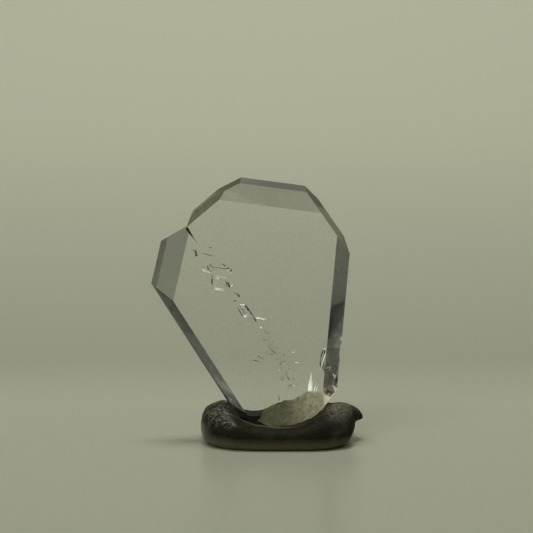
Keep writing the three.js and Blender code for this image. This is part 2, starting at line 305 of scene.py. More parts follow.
# %% [markdown]
# ## Room
# Light that enters the plate is mirrored many times between its faces before it leaves at a rim, so
# the rims show the room from many directions. The room is therefore not one even grey. It has a faint
# glow at the horizon, is nearly dark above it, and is paler again towards the ceiling. Many bounces
# are allowed, because a ray that is cut short inside the crystal comes out black.

# %% Room and bounces
ROOM_TONES = [(-0.05, 0.03), (0, 0.15), (0.14, 0.04), (0.3, 0.015), (0.45, 0.015), (0.65, 0.22)]
ROOM_TINT = (1, 1.02, 0.84)
CLEAR_BOUNCES = 48
MIRROR_BOUNCES = 24

room = bpy.data.worlds.new("dim_room")
room.use_nodes = True
tree = room.node_tree
direction = add_node(tree, "TexCoord", {}).outputs["Generated"]
upward = add_node(tree, "SeparateXYZ", {"Vector": direction}).outputs["Z"]
height = add_node(
    tree, "MapRange", {"Value": upward, "From Min": ROOM_TONES[0][0], "From Max": ROOM_TONES[-1][0]}
).outputs["Result"]
room_colour = ramp(tree, height, *from_0_to_1(tinted(ROOM_TONES, ROOM_TINT)))
tree.links.new(room_colour, tree.nodes["Background"].inputs["Color"])
scene = bpy.context.scene
scene.world = room
scene.view_settings.view_transform = "Standard"
scene.cycles.max_bounces = CLEAR_BOUNCES
scene.cycles.transmission_bounces = CLEAR_BOUNCES
scene.cycles.glossy_bounces = MIRROR_BOUNCES
print("room tones:", len(ROOM_TONES))

# %% [markdown]
# ## Kinds of quartz faces
# On a real crystal the big flat faces grew, the small ones between them are steps and chips, and the
# foot is a break. They don't shine alike, so each face gets a finish of its own. The faces could be
# picked by hand in the editor. Sorting them by size, direction and place does it in a few lines.

# %% Find the planes that grew
GROWN_AREA = 0.55 * MM**2
PLANE_SLACK = 0.004 * MM
SAME_DIRECTION = 0.999

grown_planes = [
    (face.normal.copy(), face.normal.dot(face.verts[0].co))
    for face in crystal.faces
    if face.calc_area() > GROWN_AREA
]
print("grown planes:", len(grown_planes))


def is_grown(face):
    """Whether the face lies on one of the big flat faces that grew."""
    return any(
        face.normal.dot(normal) > SAME_DIRECTION
        and abs(normal.dot(face.verts[0].co) - reach) < PLANE_SLACK
        for normal, reach in grown_planes
    )


# %% Give each face its finish
CLEAR, RIM, ETCHED, BROKEN, STAINED, GLINT = range(6)
BROADSIDE = 0.95
TURNED = 0.3
BREAK_TOP = 5.5
STAIN_FROM = 18.6
STAIN_SIDE = -8.1
CHIPS_FROM = 3.5
CHIPS_TOP = 12


def finish_of(face):
    """Which finish a face has. Chips and glints on the right edge come later."""
    x, _, z = in_plate(face.calc_center_median())
    if is_grown(face):
        backward = face.normal.dot(plate_depth_axis)
        upward = face.normal.z > TURNED
        sideways = abs(face.normal.x) > TURNED
        if abs(backward) > BROADSIDE or (backward > 0 and upward and not sideways):
            return CLEAR
        return ETCHED if upward else RIM
    if z < BREAK_TOP:
        return BROKEN
    if z > STAIN_FROM and x < STAIN_SIDE:
        return STAINED
    return RIM if x > CHIPS_FROM and z < CHIPS_TOP else CLEAR


def broken_faces(shape):
    """The faces of the break."""
    return [face for face in shape.faces if face.material_index == BROKEN]


for face in crystal.faces:
    face.material_index = finish_of(face)
print("broken faces:", len(broken_faces(crystal)))

# %% Keep search trees of the crystal
crystal_tree = BVHTree.FromBMesh(crystal)
grown_part = crystal.copy()
bmesh.ops.delete(grown_part, geom=broken_faces(grown_part), context="FACES")
grown_tree = BVHTree.FromBMesh(grown_part)
print("faces without the break:", len(grown_part.faces))

# %% [markdown]
# ## Quartz
# Clear quartz has no colour of its own, so the shader is plain transmission with quartz's refractive
# index. What tells it from window glass is its skin: fine steps of growth across each face and faint
# films of haze. All finishes share these two, so they are one node group. Painted pictures could do the
# same, but noise on the piece's own coordinates needs no unwrapping and is sharp at any distance.

# %% Growth steps and haze, for all finishes
QUARTZ_IOR = 1.544
GROWTH_TURN = math.radians(-7.5)
GROWTH_STRETCH = (0.08, 0.3, 1)
HAZE_PER_METRE = 420


def new_group(name, *sockets):
    """A shader node group, with what its input node gives and its output node takes."""
    group = bpy.data.node_groups.new(name, "ShaderNodeTree")
    for socket, kind, way in sockets:
        group.interface.new_socket(name=socket, in_out=way, socket_type="NodeSocket" + kind)
    return group, group.nodes.new("NodeGroupInput").outputs, group.nodes.new("NodeGroupOutput").inputs


growth, given, put = new_group(
    "crystal_growth",
    ("Place", "Vector", "INPUT"),
    ("Step Size", "Float", "INPUT"),
    ("Steps", "Float", "OUTPUT"),
    ("Haze", "Float", "OUTPUT"),
)
turn = {"Rotation": (0, GROWTH_TURN, 0), "Scale": GROWTH_STRETCH}
turned = add_node(growth, "Mapping", {"Vector": given["Place"], **turn}).outputs["Vector"]
scale = add_node(growth, "Math", {0: 1.0, 1: given["Step Size"]}, operation="DIVIDE").outputs["Value"]
steps = add_node(
    growth, "TexNoise", {"Vector": turned, "Scale": scale, "Detail": 5.0, "Roughness": 0.6}
)
haze = add_node(growth, "TexNoise", {"Vector": given["Place"], "Scale": HAZE_PER_METRE, "Detail": 6.0})
growth.links.new(steps.outputs["Fac"], put["Steps"])
growth.links.new(haze.outputs["Fac"], put["Haze"])
print("group:", growth.name, "nodes:", len(growth.nodes))


# %% A quartz material
def quartz_material(name, step_size, step_height, roughness, **values):
    """Quartz with growth steps of a given size and height, in millimetres, and a roughness that
    follows its haze between two stops."""
    material, shader = new_material(name, IOR=QUARTZ_IOR, **values)
    tree = material.node_tree
    skin = add_node(
        tree, "Group", {"Place": object_place(tree), "Step Size": step_size * MM}, node_tree=growth
    )
    tree.links.new(ramp(tree, skin.outputs["Haze"], *greys(*roughness)), shader.inputs["Roughness"])
    relief = add_node(tree, "Bump", {"Height": skin.outputs["Steps"], "Distance": step_height * MM})
    tree.links.new(relief.outputs["Normal"], shader.inputs["Normal"])
    print("finish:", name)
    return material, shader


# %% [markdown]
# ## Finishes of the grown faces
# The broad faces are clear, under a film of specks so thin that it only takes a few hundredths of the
# light. The rims are hazier, greyed by painted shade, with frost towards the top. The rims that look up
# were etched: they are dull and let only part of the light through, and their dark, warm colour is
# painted shade.

# %% Clear faces
SPECKLE_SIZE = 0.2 * MM
SPECKLE_TONES = [(0.3, 0.9), (0.55, 1)]

clear_quartz, shader = quartz_material(
    "clear_quartz",
    step_size=0.6,
    step_height=0.0015,
    roughness=[(0.45, 0), (0.75, 0.05)],
    Transmission_Weight=1,
)
tree = clear_quartz.node_tree
speckles = add_node(
    tree,
    "TexNoise",
    {"Vector": object_place(tree), "Scale": 1 / SPECKLE_SIZE, "Detail": 3.0, "Roughness": 0.6},
)
speckled = ramp(tree, speckles.outputs["Fac"], *greys(*SPECKLE_TONES))
tree.links.new(speckled, shader.inputs["Base Color"])

# %% Rims, with frost towards the top
FROST = [(14, 0), (18, 0.28)]

# The grey base colour of the rims is painted shade.
rim_quartz, shader = quartz_material(
    "rim_quartz",
    step_size=0.3,
    step_height=0.004,
    roughness=[(0.35, 0.04), (0.7, 0.16)],
    Base_Color=(0.52, 0.53, 0.51, 1),
    Transmission_Weight=1,
)
tree = rim_quartz.node_tree
hazed = shader.inputs["Roughness"].links[0].from_socket
frost = ramp_along(tree, "Z", greys(*FROST))
frosted = add_node(tree, "Math", {0: hazed, 1: frost}, operation="ADD").outputs["Value"]
tree.links.new(frosted, shader.inputs["Roughness"])

# %% Etched rims
# The dark, warm base colour of the etched rims is painted shade.
etched_quartz, _ = quartz_material(
    "etched_quartz",
    step_size=0.3,
    step_height=0.01,
    roughness=[(0.35, 0.35), (0.7, 0.5)],
    Base_Color=(0.38, 0.372, 0.285, 1),
    Transmission_Weight=0.65,
)

# %% [markdown]
# ## Finishes of the break, the notch and the chips
# The break is a mass of tiny cracks, which scatter light inside it. That would take thousands of
# surfaces, so it is a nearly opaque finish with a faint painted glow, in place of the light that the
# crystal carries down to it. It is brighter to the right, where less putty clings to it and where the
# painted glow grows to a painted highlight at the corner, and streaks of dirt darken it. The notch at
# the top of the seam holds a dark stain, and a few fresh chips on the right edge carry painted glints.

# %% Break
BREAK_TONES = [
    (0.4, (0.4, 0.375, 0.23)),
    (2.8, (0.95, 0.92, 0.68)),
    (4.2, (1, 0.97, 0.74)),
    (4.6, (1, 0.99, 0.84)),
]
# Painted glow of the break, brightest as a painted highlight at its right corner.
BREAK_PAINTED_GLOW = [
    (0.4, (0.08, 0.077, 0.045)),
    (2.8, (0.28, 0.275, 0.195)),
    (4.2, (0.32, 0.315, 0.225)),
    (4.6, (1, 0.97, 0.8)),
]
DIRT_TONES = [(0.33, (0.45, 0.42, 0.31)), (0.5, (0.78, 0.765, 0.65)), (0.66, (1, 1, 1))]
DIRT_PER_METRE = 2400
DIRT_STRETCH = (1, 1, 0.35)

broken_quartz, shader = quartz_material(
    "broken_quartz",
    step_size=0.25,
    step_height=0.06,
    roughness=[(0.3, 0.4), (0.7, 0.65)],
    Transmission_Weight=0.1,
    Emission_Strength=0.5,
)
tree = broken_quartz.node_tree
streaked = add_node(tree, "Mapping", {"Vector": object_place(tree), "Scale": DIRT_STRETCH})
dirt = add_node(
    tree,
    "TexNoise",
    {"Vector": streaked.outputs["Vector"], "Scale": DIRT_PER_METRE, "Detail": 8.0, "Roughness": 0.7},
)
dirt_colour = ramp(tree, dirt.outputs["Fac"], *DIRT_TONES)
for socket, stops in (("Base Color", BREAK_TONES), ("Emission Color", BREAK_PAINTED_GLOW)):
    layers = {"Fac": 1.0, "Color1": ramp_along(tree, "X", stops), "Color2": dirt_colour}
    dirtied_colour_and_glow = add_node(tree, "MixRGB", layers, blend_type="MULTIPLY")
    tree.links.new(dirtied_colour_and_glow.outputs["Color"], shader.inputs[socket])

# %% Stain in the notch of the seam
STAIN_TONES = [(20.1, (0.8, 0.8, 0.74)), (20.7, (0.03, 0.022, 0.006))]

stained_quartz, shader = quartz_material(
    "stained_quartz",
    step_size=0.2,
    step_height=0.03,
    roughness=[(0.3, 0.1), (0.7, 0.3)],
    Transmission_Weight=0.85,
)
tree = stained_quartz.node_tree
tree.links.new(ramp_along(tree, "Z", STAIN_TONES), shader.inputs["Base Color"])

# %% Painted glints on fresh chips
# A pale colour that glows faintly: a painted glint.
painted_glint_quartz, _ = quartz_material(
    "painted_glint_quartz",
    step_size=0.2,
    step_height=0.02,
    roughness=[(0.3, 0.2), (0.7, 0.4)],
    Base_Color=(0.95, 0.94, 0.82, 1),
    Emission_Color=(1, 0.98, 0.85, 1),
    Emission_Strength=0.25,
)

# %% [markdown]
# ## Edges
# No crystal edge is perfectly sharp. A hair-fine bevel on the long ones catches the light as a thin
# line. A Bevel modifier would round the small steps and the break too, so the operator gets a list of
# the long edges between two large faces.

# %% Round the long edges
EDGE_BEVEL = 0.015 * MM
EDGE_SEGMENTS = 2
LONG_EDGE = 1 * MM
SHARP_ANGLE = math.radians(15)

dressed = crystal.copy()
long_edges = [
    edge
    for edge in dressed.edges
    if len(edge.link_faces) == 2
    and edge.calc_length() > LONG_EDGE
    and edge.calc_face_angle() > SHARP_ANGLE
    and all(face.calc_area() > GROWN_AREA for face in edge.link_faces)
]
bmesh.ops.bevel(
    dressed,
    geom=long_edges,
    offset=EDGE_BEVEL,
    offset_type="OFFSET",
    affect="EDGES",
    segments=EDGE_SEGMENTS,
    profile=0.5,
    material=-1,
    clamp_overlap=True,
)
print("long edges rounded:", len(long_edges))

# %% [markdown]
# ## Chips
# Above the break the right side lost small shell-shaped chips. The side is cut by planes at slightly
# random tilts, the corners that this leaves inside it are sunk by random depths, and the pieces are
# made triangles, which stand at angles to each other as chips do. Faces and corners are put in order
# by their place before chance is asked, so that every run makes the same chips.

# %% Cut the right side
CHIPS_Z = (4.9, 9.5)
CHIPS_SIDE = 4.6
CHIPPED_FACING = 0.75
CHIPPED_MIDDLE = (5.5, 1.2, 7.2)
CHIP_SPLITS = 8
CHIP_TILT = 0.6
CHIP_SPLIT_DEPTHS = (0.8, 1.6)
CHIP_SPLIT_TILT = 0.2
CUT_SLACK = 0.002 * MM
CHIP_SEED = 3

chance = random.Random(CHIP_SEED)
chip_x, chip_depth, chip_z = CHIPPED_MIDDLE


def edge_chips():
    """The faces of the right side that are chipped."""
    chosen = []
    for face in dressed.faces:
        x, _, z = in_plate(face.calc_center_median())
        on_side = face.material_index == RIM and face.normal.x > CHIPPED_FACING and x > CHIPS_SIDE
        if on_side and CHIPS_Z[0] < z < CHIPS_Z[1]:
            chosen.append(face)
    return chosen


def split_faces(faces, point, normal):
    """Cuts the faces along a plane. The parts keep their order, so that every run is the same."""
    edges = dict.fromkeys(edge for face in faces for edge in face.edges)
    corners = dict.fromkeys(corner for face in faces for corner in face.verts)
    parts = [*faces, *edges, *corners]
    bmesh.ops.bisect_plane(dressed, geom=parts, plane_co=point, plane_no=normal, dist=CUT_SLACK)


side = max(
    (face for face in dressed.faces if face.normal.x > CHIPPED_FACING), key=lambda face: face.calc_area()
)
split_faces([side], on_plate(chip_x, chip_depth, CHIPS_Z[1]), plate_up)
for index in range(CHIP_SPLITS):
    z = CHIPS_Z[0] + (CHIPS_Z[1] - CHIPS_Z[0]) * (index + 0.5) / CHIP_SPLITS
    tilt = plate_depth_axis * chance.uniform(-CHIP_TILT, CHIP_TILT)
    split_faces(edge_chips(), on_plate(chip_x, chip_depth, z), plate_up + tilt)
for depth in CHIP_SPLIT_DEPTHS:
    tilt = plate_up * chance.uniform(-CHIP_SPLIT_TILT, CHIP_SPLIT_TILT)
    split_faces(edge_chips(), on_plate(chip_x, depth, chip_z), plate_depth_axis + tilt)
print("parts of the right side:", len(edge_chips()))

# %% Sink the chips
CHIP_DEPTHS = (0.04, 0.3)

dressed.normal_update()
chipped = sorted(edge_chips(), key=lambda face: tuple(face.calc_center_median()))
chip_corners = {corner for face in chipped for corner in face.verts}
for corner in sorted(chip_corners, key=lambda corner: tuple(corner.co)):
    if set(chipped).issuperset(corner.link_faces):
        corner.co -= corner.normal * chance.uniform(*CHIP_DEPTHS) * MM
chips = bmesh.ops.triangulate(dressed, faces=chipped)["faces"]
print("chipped faces:", len(chips))

# %% Give some chips a painted glint
CHIP_GLINTS = [(5.3, 6.7), (5.45, 5.3)]
GLINT_AREA = 0.1 * MM**2
GLINTS_BELOW = 5.2

# The painted glint goes to the low chips and to the chips nearest the given spots.
for face in chips:
    low_down = in_plate(face.calc_center_median())[2] < GLINTS_BELOW
    face.material_index = GLINT if low_down else ETCHED
large_chips = [face for face in chips if face.calc_area() > GLINT_AREA]
for x, z in CHIP_GLINTS:
    spot = on_plate(x, 0, z)
    nearest = min(large_chips, key=lambda face: (face.calc_center_median() - spot).xz.length)
    nearest.material_index = GLINT
print("glints:", sum(face.material_index == GLINT for face in chips))

# %% [markdown]
# ## Break
# Quartz breaks like glass, in shallow shells. The solid gives the large form of the break. Here its
# faces are cut finer, and two sizes of noise move each inner point along its normal. The points where
# the break meets the grown faces stay, so the edge between them is closed.

# %% Roughen the break and finish the crystal
BREAK_CUTS = 3
BREAK_RELIEF = 0.05
BREAK_SHELLS = ((2.5, 1), (6, 0.6))

bmesh.ops.triangulate(dressed, faces=broken_faces(dressed))
inside_break = [
    edge for edge in dressed.edges if all(face.material_index == BROKEN for face in edge.link_faces)
]
bmesh.ops.subdivide_edges(dressed, edges=inside_break, cuts=BREAK_CUTS, use_grid_fill=True)
dressed.normal_update()
for point in dressed.verts:
    if all(face.material_index == BROKEN for face in point.link_faces):
        shell = sum(height * noise.noise(point.co / MM * scale) for scale, height in BREAK_SHELLS)
        point.co += point.normal * shell * BREAK_RELIEF * MM
for face in broken_faces(dressed):
    face.smooth = True
for edge in dressed.edges:
    if len({face.material_index for face in edge.link_faces}) > 1:
        edge.smooth = False
finishes = [clear_quartz, rim_quartz, etched_quartz, broken_quartz, stained_quartz, painted_glint_quartz]
twin = add_object("quartz_crystal", dressed, *finishes)
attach(twin, "root")
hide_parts("quartz_twin")
print("crystal faces:", len(twin.data.polygons))

# %% [markdown]
# ## What the crystal shut in
# Fine brown threads and dark traces lie inside, most of them along the plane where the two crystals
# meet, and small cracks shine white beside them and near the foot. A noise in a volume could hint at
# them, but they are few and each has its place. So each is a thin spindle of two cones, set in the
# plate by the x and z of its two ends and by its width. Specks are small balls, scattered along the
# seam. A nearest-face test counts the points that are outside the crystal: there should be none.

# %% Helpers for threads and specks
SPINDLE_SIDES = 5
SPINDLE_CONES = (
    {"low": 0, "high": 0.2, "low_width": 0.5, "high_width": 1},
    {"low": 0.2, "high": 1, "low_width": 1, "high_width": 0.15},
)


def add_spindle(shape, start, end, width, flatness):
    """A thin spindle, widest near its start and pressed flat through the plate."""
    along = end - start
    turn = along.to_track_quat("Z", "Y").to_matrix().to_4x4()
    made = []
    for cone in SPINDLE_CONES:
        middle = start + along * (cone["low"] + cone["high"]) / 2
        made += bmesh.ops.create_cone(
            shape,
            segments=SPINDLE_SIDES,
            radius1=cone["low_width"] * width / 2,
            radius2=cone["high_width"] * width / 2,
            depth=(cone["high"] - cone["low"]) * along.length,
            matrix=Matrix.Translation(middle) @ turn,
        )["verts"]
    middle = (start + end) / 2
    for corner in made:
        depth = (corner.co - middle).dot(plate_depth_axis)
        corner.co -= plate_depth_axis * depth * (1 - flatness)


def spindles(rows, depth, flatness=1):
    """A bmesh of spindles, from rows of x and z of both ends and a width, in millimetres."""
    shape = bmesh.new()
    for x0, z0, x1, z1, width in rows:
        add_spindle(shape, on_plate(x0, depth, z0), on_plate(x1, depth, z1), width * MM, flatness)
    return shape


def add_speck(shape, middle, size):
    """A small ball."""
    place = Matrix.Translation(middle) @ Matrix.Scale(size / 2, 4)
    bmesh.ops.create_icosphere(shape, subdivisions=1, radius=1, matrix=place)


# %% Helpers that finish a piece inside the crystal
LEAST_COVER = 0.06 * MM


def is_inside(point):
    """Whether a point is inside the crystal, with a little quartz over it."""
    touch, outward, _, gap = crystal_tree.find_nearest(point)
    return (point - touch).dot(outward) < 0 and gap > LEAST_COVER


def add_inclusions(name, shape, material):
    """Closes the shapes, makes them a piece, and counts points that are outside the crystal."""
    bmesh.ops.remove_doubles(shape, verts=shape.verts, dist=MERGE_GAP)
    bmesh.ops.holes_fill(shape, edges=[edge for edge in shape.edges if edge.is_boundary])
    bmesh.ops.recalc_face_normals(shape, faces=shape.faces)
    outside = sum(not is_inside(point.co) for point in shape.verts)
    piece = add_object(name, shape, material)
    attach(piece, "root")
    print(name, "faces:", len(piece.data.polygons), "points outside:", outside)
    return piece


# %% Patches of two close colours, for all that is shut in
PATCHES_PER_METRE = 3000
PATCH_LIMITS = (0.35, 0.65)

patches, given, put = new_group(
    "fine_patches",
    ("Place", "Vector", "INPUT"),
    ("Dark", "Color", "INPUT"),
    ("Pale", "Color", "INPUT"),
    ("Color", "Color", "OUTPUT"),
)
level = add_node(patches, "TexNoise", {"Vector": given["Place"], "Scale": PATCHES_PER_METRE})
limits = {"From Min": PATCH_LIMITS[0], "From Max": PATCH_LIMITS[1]}
share = add_node(patches, "MapRange", {"Value": level.outputs["Fac"], **limits})
ends = {"Color1": given["Dark"], "Color2": given["Pale"]}
mixed = add_node(patches, "MixRGB", {"Fac": share.outputs["Result"], **ends})
patches.links.new(mixed.outputs["Color"], put["Color"])
print("group:", patches.name, "nodes:", len(patches.nodes))


def patched(name, dark, pale, **values):
    """A material of two close colours in fine patches."""
    material, shader = new_material(name, **values)
    tree = material.node_tree
    inputs = {"Place": object_place(tree), "Dark": (*dark, 1), "Pale": (*pale, 1)}
    spots = add_node(tree, "Group", inputs, node_tree=patches)
    tree.links.new(spots.outputs["Color"], shader.inputs["Base Color"])
    return material


# %% [markdown]
# ## Brown threads
# The threads are thin needles of another mineral, brown as rust. A curve with a bevel would also give
# a thread, but a spindle tapers by itself. In the render little light reaches them through the
# crystal's faces, so a faint glow of their own colour makes up for it.

# %% Make the brown threads
THREADS = [
    (-1.17, 9.58, -0.26, 8.78, 0.09),
    (-2.3, 8.74, -1.38, 8.22, 0.1),
    (-2.68, 8.29, -2.01, 8.11, 0.15),
    (-0.05, 4.25, -0.16, 4.88, 0.11),
    (0.16, 6.22, 0.1, 6.78, 0.11),
    (1.0, 6.22, 0.65, 6.78, 0.14),
    (0.45, 6.45, 0.4, 6.65, 0.1),
    (1.18, 5.65, 1.0, 5.85, 0.12),
]
THREAD_DEPTH = 0.8

brown = patched(
    "brown_thread",
    dark=(0.46, 0.35, 0.15),
    pale=(0.72, 0.58, 0.31),
    Roughness=0.6,
    Emission_Color=(0.6, 0.46, 0.2, 1),
    Emission_Strength=0.14,
)
add_inclusions("brown_threads", spindles(THREADS, THREAD_DEPTH), brown)

# %% [markdown]
# ## Dark traces
# Dark traces mark the seam where the two crystals meet. The larger ones are placed one by one. Below
# them the seam dissolves into a plume of specks, too many to place, so chance scatters them round a
# line, always from the same seed.

# %% Make the dark traces and specks
TRACES = [
    (-8.35, 18.7, -8.45, 19.4, 0.3),
    (-7.1, 19.55, -6.8, 19.57, 0.1),
    (-7.2, 18.85, -7.85, 19.03, 0.07),
    (-7.2, 18.85, -6.55, 18.66, 0.07),
    (-7.2, 17.35, -7.25, 17.85, 0.15),
    (-7.05, 17.85, -6.75, 17.72, 0.12),
    (-5.45, 17.7, -5.9, 18.0, 0.12),
    (-5.08, 17.5, -5.35, 17.52, 0.15),
    (-4.88, 17.2, -4.9, 17.45, 0.15),
    (-6.82, 15.87, -6.8, 16.9, 0.15),
    (-5.82, 16.6, -6.12, 16.48, 0.16),
    (-5.05, 15.55, -5.25, 16.15, 0.27),
    (-4.06, 14.63, -4.35, 15.07, 0.16),
    (-4.4, 14.2, -4.7, 14.25, 0.12),
    (-3.14, 13.23, -3.47, 13.9, 0.2),
    (-2.88, 12.9, -2.97, 13.05, 0.22),
    (-2.37, 12.13, -2.8, 12.85, 0.14),
    (-3.73, 12.72, -4.35, 13.67, 0.1),
]
TRACE_DEPTH = 0.6
SPECKS = 140
SPECK_SIZES = (0.03, 0.1)
PLUME_FROM = Vector((-1.7, 11.2))
PLUME_TO = Vector((1.3, 5.7))
PLUME_SPREAD = (0.4, 0.3)
PLUME_DEPTHS = (0.4, 1.8)
SPECK_SEED = 5

scatter = random.Random(SPECK_SEED)
traces = spindles(TRACES, TRACE_DEPTH)
for _ in range(SPECKS):
    x, z = PLUME_FROM.lerp(PLUME_TO, scatter.random())
    aside, up = (scatter.gauss(0, spread) for spread in PLUME_SPREAD)
    middle = on_plate(x + aside, scatter.uniform(*PLUME_DEPTHS), z + up)
    if is_inside(middle):
        add_speck(traces, middle, scatter.uniform(*SPECK_SIZES) * MM)
dark = patched("dark_trace", dark=(0.035, 0.03, 0.016), pale=(0.15, 0.13, 0.08), Roughness=0.5)
add_inclusions("dark_traces", traces, dark)

# %% [markdown]
# ## Bright cracks
# A crack inside a crystal mirrors the light and looks white. Each is a spindle pressed flat, with a
# glow in place of the mirrored light. Mirror-like faces don't show these pieces, because the glow
# would repeat as white spots in the rims.

# %% Make the bright cracks
CRACKS = [
    (3, 5.15, 3.14, 7.02, 0.24),
    (2.84, 5.15, 2.96, 6.3, 0.15),
    (3.17, 5.15, 3.24, 6.2, 0.12),
    (3.4, 5.15, 3.63, 5.94, 0.1),
    (3.62, 5.15, 3.78, 5.75, 0.07),
    (-7.75, 17.36, -7.0, 17.05, 0.22),
    (-6.4, 16.5, -6.1, 16.42, 0.14),
    (-4.94, 15.65, -4.65, 15.95, 0.08),
    (-6.55, 15.4, -5.6, 15.25, 0.1),
    (-3.9, 13.8, -3.5, 13.75, 0.2),
    (-3.6, 12.72, -3.3, 12.6, 0.25),
    (-2.44, 12.53, -1.34, 12.39, 0.18),
    (-1.98, 11.6, -1.8, 11.5, 0.2),
    (1.2, 9.08, 1.5, 9.08, 0.1),
    (1.55, 8.07, 1.9, 8.0, 0.12),
    (-0.1, 7.32, 0.0, 7.22, 0.14),
    (1.35, 5.75, 1.45, 5.65, 0.15),
    (4.58, 9.0, 4.05, 7.3, 0.1),
    (4.4, 9.43, 4.6, 9.4, 0.16),
]
CRACK_DEPTH = 0.62
CRACK_FLATNESS = 0.25

white = patched(
    "bright_crack",
    dark=(0.7, 0.72, 0.62),
    pale=(0.95, 0.96, 0.88),
    Roughness=0.4,
    Emission_Color=(0.95, 0.97, 0.85, 1),
    Emission_Strength=0.75,
)
cracks = spindles(CRACKS, CRACK_DEPTH, CRACK_FLATNESS)
bright_cracks = add_inclusions("bright_cracks", cracks, white)
bright_cracks.visible_glossy = False

# %% [markdown]
# ## Putty
# The putty was pinched and pressed by hand: a smooth roll in front with a painted highlight along its
# rim, a crinkled left end, a dusty right end, and the fine curved ridges of a fingertip on its flank. The
# solid gives the lump. A voxel remesh makes its skin fine and even, and then each point is moved in code,
# as a sculptor's brush would do it. A bump in the material would be quicker, but it leaves the outline
# plain.

# %% Remesh the lump
PUTTY_VOXEL = 0.11 * MM

start = add_object("putty_start", merged_copy("putty_base"))
fine = start.modifiers.new("fine_skin", "REMESH")
fine.mode = "VOXEL"
fine.voxel_size = PUTTY_VOXEL
lump = bmesh.new()
lump.from_object(start, bpy.context.evaluated_depsgraph_get())
bpy.data.objects.remove(start)
lump.normal_update()
print("putty points:", len(lump.verts))

# %% Helpers for soft limits
NOISE_SEED = 7

noise.seed_set(NOISE_SEED)


def smooth_step(value, low, high):
    """0 below low, 1 above high, and smooth between. high may be the smaller of the two."""
    share = min(1, max(0, (value - low) / (high - low)))
    return share * share * (3 - 2 * share)


def ridge(phase):
    """A row of rounded ridges, one for each whole step of phase."""
    return abs(math.sin(math.pi * phase))


def hump(offset, half_width):
    """1 in the middle, falling off smoothly on both sides."""
    return math.exp(-((offset / half_width) ** 2))


def spread(here, place):
    """How much of a press reaches a point, from 1 at its middle down to 0."""
    return hump(here.x - place["x"], place["half_x"]) * hump(here.y - place["y"], place["half_y"])


# %% Crinkles of the left end
CRINKLE_X = (-4.3, -5.6)
CRINKLE_Y = (2.6, -0.2)
CRINKLE_Z = (1.7, 2.7)
CRINKLE_SLOPE = (-0.3, 0.3)
CRINKLE_SIZE = 0.3
CRINKLE_ALONG = Vector((0.75, 0.2, 0.63)).normalized()
CRINKLE_STRETCH = 2.4
CRINKLE_WANDER = 0.5
CRINKLE_GAP = (0, 0.45)


def crinkles(here, normal, wander):
    """The short creases of the left end: how far they are there, and their height from 0 to 1."""
    along = CRINKLE_ALONG * here.dot(CRINKLE_ALONG)
    cell = (here - along + along / CRINKLE_STRETCH) / CRINKLE_SIZE
    nearest, next_nearest = noise.voronoi(cell + CRINKLE_WANDER * wander)[0][:2]
    share = smooth_step(here.x, *CRINKLE_X) * smooth_step(here.y, *CRINKLE_Y)
    share *= smooth_step(here.z, *CRINKLE_Z) * smooth_step(normal.z, *CRINKLE_SLOPE)
    return share, smooth_step(next_nearest - nearest, *CRINKLE_GAP)


# %% Ridges of a fingertip on the right end
PRINT_X = (4.6, 6)
PRINT_TURN = (0.85, 0.5)
PRINT_PATCHES = (-0.4, 0.2)
PRINT_MIDDLE = (3.4, 1.7)
PRINT_SPACING = 0.22
PRINT_WANDER = 0.4


def fingerprint(here, normal, wander):
    """The arcs that a fingertip left: how far they are there, and their height from 0 to 1."""
    around = math.hypot(here.x - PRINT_MIDDLE[0], here.z - PRINT_MIDDLE[1]) / PRINT_SPACING
    share = smooth_step(here.x, *PRINT_X) * smooth_step(normal.x, *PRINT_TURN)
    return share * smooth_step(wander.x, *PRINT_PATCHES), ridge(around + PRINT_WANDER * wander.z)


# %% Dust on the right end
DUSTY_X = (3.9, 5.2)
DUSTY_END_X = (7.5, 6.8)
DUSTY_Y = (2.6, -0.2)
DUSTY_Z = (2.5, 3.9)
DUST_SIZE = 0.25
DUST_PATCHES = (-0.8, 0.6)


def dust(here):
    """How dusty the top of the right end is, from 0 to 1, in fine patches."""
    share = smooth_step(here.x, *DUSTY_X) * smooth_step(here.x, *DUSTY_END_X)
    share *= smooth_step(here.y, *DUSTY_Y) * smooth_step(here.z, *DUSTY_Z)
    return share * smooth_step(noise.noise(here / DUST_SIZE), *DUST_PATCHES)


# %% Skin of the putty
SWELL = ((0.45, 0.1), (1.7, 0.03))
WANDER_PER_MM = 0.9
LIP_RIM = {"x": -1.2, "y": -3.42, "half_x": 3.4, "half_y": 0.22}
LIP_SLOPE = (0, 0.5)
LIP_HEIGHT = 0.14
# Paleness of the painted highlight along the lip rim.
LIP_PAINTED_HIGHLIGHT = 0.6
CRINKLE_HEIGHT = 0.09
# Paleness of the painted highlights on the crinkle tops.
CRINKLE_PAINTED_HIGHLIGHT = 0.6
CRINKLE_TOPS = (0.2, 1)
CRINKLE_PATCHES = (-0.7, 0)
PRINT_HEIGHT = 0.02
# Paleness of the fingerprint flank between its ridges, and of the painted highlights on their tops.
PRINT_PALENESS_AND_HIGHLIGHT = (0.05, 0.2)
PRINT_TOPS = (0.4, 1)


